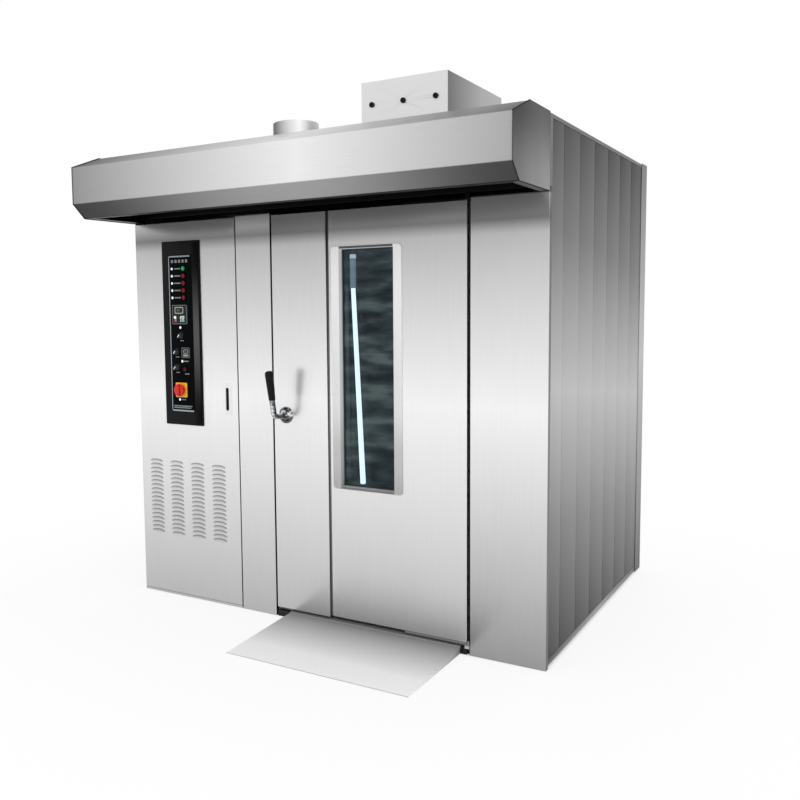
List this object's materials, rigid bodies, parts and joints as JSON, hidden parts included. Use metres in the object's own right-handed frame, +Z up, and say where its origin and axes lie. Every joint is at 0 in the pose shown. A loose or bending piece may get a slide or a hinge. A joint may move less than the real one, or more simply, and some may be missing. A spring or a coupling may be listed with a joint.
{
  "type": "rotating rack oven",
  "caption": "Free-standing bakery oven: insulated chamber with a hung, motor-turned rack, windowed door, service cabinet, steam hood and floor ramp.",
  "frame": {"origin": "centre of the body's base on the floor, without hood and ramp", "axes": "+Z up, -Y towards the door side, +X to the right of someone facing the door"},
  "size_m": [2.19, 2.14, 2.4],
  "materials": {
    "stainless": "vertical brushed grain, satin",
    "polished_steel": "polished",
    "chamber_steel": "satin, lightly heat-tinted",
    "casing": "mill finish",
    "black_steel": "black oxide",
    "cast_housing": "cast, painted",
    "motor_paint": "semi-gloss enamel",
    "mineral_wool": "pressed mineral wool",
    "silicone": "matt",
    "window_glass": "clear, toughened",
    "lamp_glass": "frosted",
    "black_plastic": "matt",
    "panel_face": "satin foil",
    "green_plastic": "gloss",
    "red_plastic": "gloss",
    "dark_red_plastic": "gloss",
    "yellow_plastic": "gloss"
  },
  "bodies": {
    "root": {"floor_pan": "casing", "chamber_floor": "chamber_steel", "ramp": "stainless", "side_sheets": "stainless", "rear_sheets": "stainless", "corner_trims": "stainless", "roof_sheets": "stainless", "insulation": "mineral_wool", "chamber_liner": "chamber_steel", "duct_walls": "chamber_steel", "door_frame": "chamber_steel", "partitions": "casing", "left_post": "stainless", "right_post": "stainless", "front_header": "stainless", "hood_shell": "stainless", "roof_box": "stainless", "roof_bolts": "black_steel", "extractor_motor": "casing", "vent_collar": "polished_steel", "rotor_bearing": "cast_housing", "rotor_gearmotor": "motor_paint", "fan_motor": "motor_paint", "heater_elements": "casing", "steam_generator": "chamber_steel", "hinge_pivots": "casing"},
    "service_door": {"service_door": "stainless", "service_pull": "black_plastic", "control_panel": "black_plastic", "instrument_plate": "panel_face", "instruments": "panel_face", "isolator_plate": "yellow_plastic"},
    "door": {"door_latch_panel": "stainless", "door_window_panel": "stainless", "door_core": "mineral_wool", "door_inner_skin": "chamber_steel", "window_frame": "polished_steel", "window_panes": "window_glass", "door_seals": "silicone", "hinge_arms": "casing", "handle_rose": "polished_steel", "door_lamp": "lamp_glass"},
    "handle": {"handle_lever": "polished_steel", "handle_grip": "black_plastic"},
    "bolt": {"latch_bolt": "polished_steel"},
    "rotor": {"rotor_shaft": "polished_steel", "rack_hanger": "chamber_steel"},
    "circulation_fan": {"circulation_fan": "casing"},
    "extractor_fan": {"extractor_fan": "black_steel"},
    "vent_damper": {"vent_damper": "polished_steel"},
    "button_1": {"button_1": "green_plastic"},
    "button_2": {"button_2": "red_plastic"},
    "button_3": {"button_3": "red_plastic"},
    "button_4": {"button_4": "red_plastic"},
    "button_5": {"button_5": "red_plastic"},
    "stop_button": {"stop_button": "dark_red_plastic"},
    "selector_1": {"selector_1": "black_plastic"},
    "selector_2": {"selector_2": "black_plastic"},
    "selector_3": {"selector_3": "black_plastic"},
    "isolator_knob": {"isolator_knob": "red_plastic"}
  },
  "joints": [
    {"name": "door_hinge", "type": "hinge", "parent": "root", "child": "door", "pos_m": [0.757, -0.825, 0.049], "axis": [0, 0, 1], "range_deg": [0, 115]},
    {"name": "handle_turn", "type": "hinge", "parent": "door", "child": "handle", "pos_m": [-0.165, -0.825, 0.981], "axis": [0, 1, 0], "range_deg": [0, 90]},
    {"name": "bolt_slide", "type": "slide", "parent": "door", "child": "bolt", "axis": [-1, 0, 0], "range_m": [0, 0.01885]},
    {"name": "service_door_hinge", "type": "hinge", "parent": "root", "child": "service_door", "pos_m": [-1.081, -0.814, 0.02], "axis": [0, 0, -1], "range_deg": [0, 110]},
    {"name": "rotor_turn", "type": "hinge", "parent": "root", "child": "rotor", "pos_m": [0.26, 0.00115, 2.24], "axis": [0, 0, 1], "continuous": true},
    {"name": "circulation_fan_turn", "type": "hinge", "parent": "root", "child": "circulation_fan", "pos_m": [-0.77, 0.138, 2.24], "axis": [0, 0, 1], "continuous": true},
    {"name": "extractor_fan_turn", "type": "hinge", "parent": "root", "child": "extractor_fan", "pos_m": [0.5355, -0.695, 2.31], "axis": [0, 1, 0], "continuous": true},
    {"name": "vent_damper_turn", "type": "hinge", "parent": "root", "child": "vent_damper", "pos_m": [-0.003, -0.943, 2.18], "axis": [1, 0, 0], "range_deg": [0, 90]},
    {"name": "button_1_press", "type": "slide", "parent": "service_door", "child": "button_1", "axis": [0, 1, 0], "range_m": [0, 0.004], "stiffness_N_per_m": 800},
    {"name": "button_2_press", "type": "slide", "parent": "service_door", "child": "button_2", "axis": [0, 1, 0], "range_m": [0, 0.004], "stiffness_N_per_m": 800},
    {"name": "button_3_press", "type": "slide", "parent": "service_door", "child": "button_3", "axis": [0, 1, 0], "range_m": [0, 0.004], "stiffness_N_per_m": 800},
    {"name": "button_4_press", "type": "slide", "parent": "service_door", "child": "button_4", "axis": [0, 1, 0], "range_m": [0, 0.004], "stiffness_N_per_m": 800},
    {"name": "button_5_press", "type": "slide", "parent": "service_door", "child": "button_5", "axis": [0, 1, 0], "range_m": [0, 0.004], "stiffness_N_per_m": 800},
    {"name": "stop_press", "type": "slide", "parent": "service_door", "child": "stop_button", "axis": [0, 1, 0], "range_m": [0, 0.004], "stiffness_N_per_m": 800},
    {"name": "selector_1_turn", "type": "hinge", "parent": "service_door", "child": "selector_1", "pos_m": [-0.787, -0.839, 1.349], "axis": [0, 1, 0], "range_deg": [-60, 60]},
    {"name": "selector_2_turn", "type": "hinge", "parent": "service_door", "child": "selector_2", "pos_m": [-0.818, -0.839, 1.267], "axis": [0, 1, 0], "range_deg": [-60, 60]},
    {"name": "selector_3_turn", "type": "hinge", "parent": "service_door", "child": "selector_3", "pos_m": [-0.818, -0.839, 1.189], "axis": [0, 1, 0], "range_deg": [-60, 60]},
    {"name": "isolator_turn", "type": "hinge", "parent": "service_door", "child": "isolator_knob", "pos_m": [-0.792, -0.839, 1.076], "axis": [0, 1, 0], "range_deg": [0, 90]}
  ],
  "couplings": [
    {"joint": "bolt_slide", "follows": "handle_turn", "m_per_rad": 0.012}
  ]
}
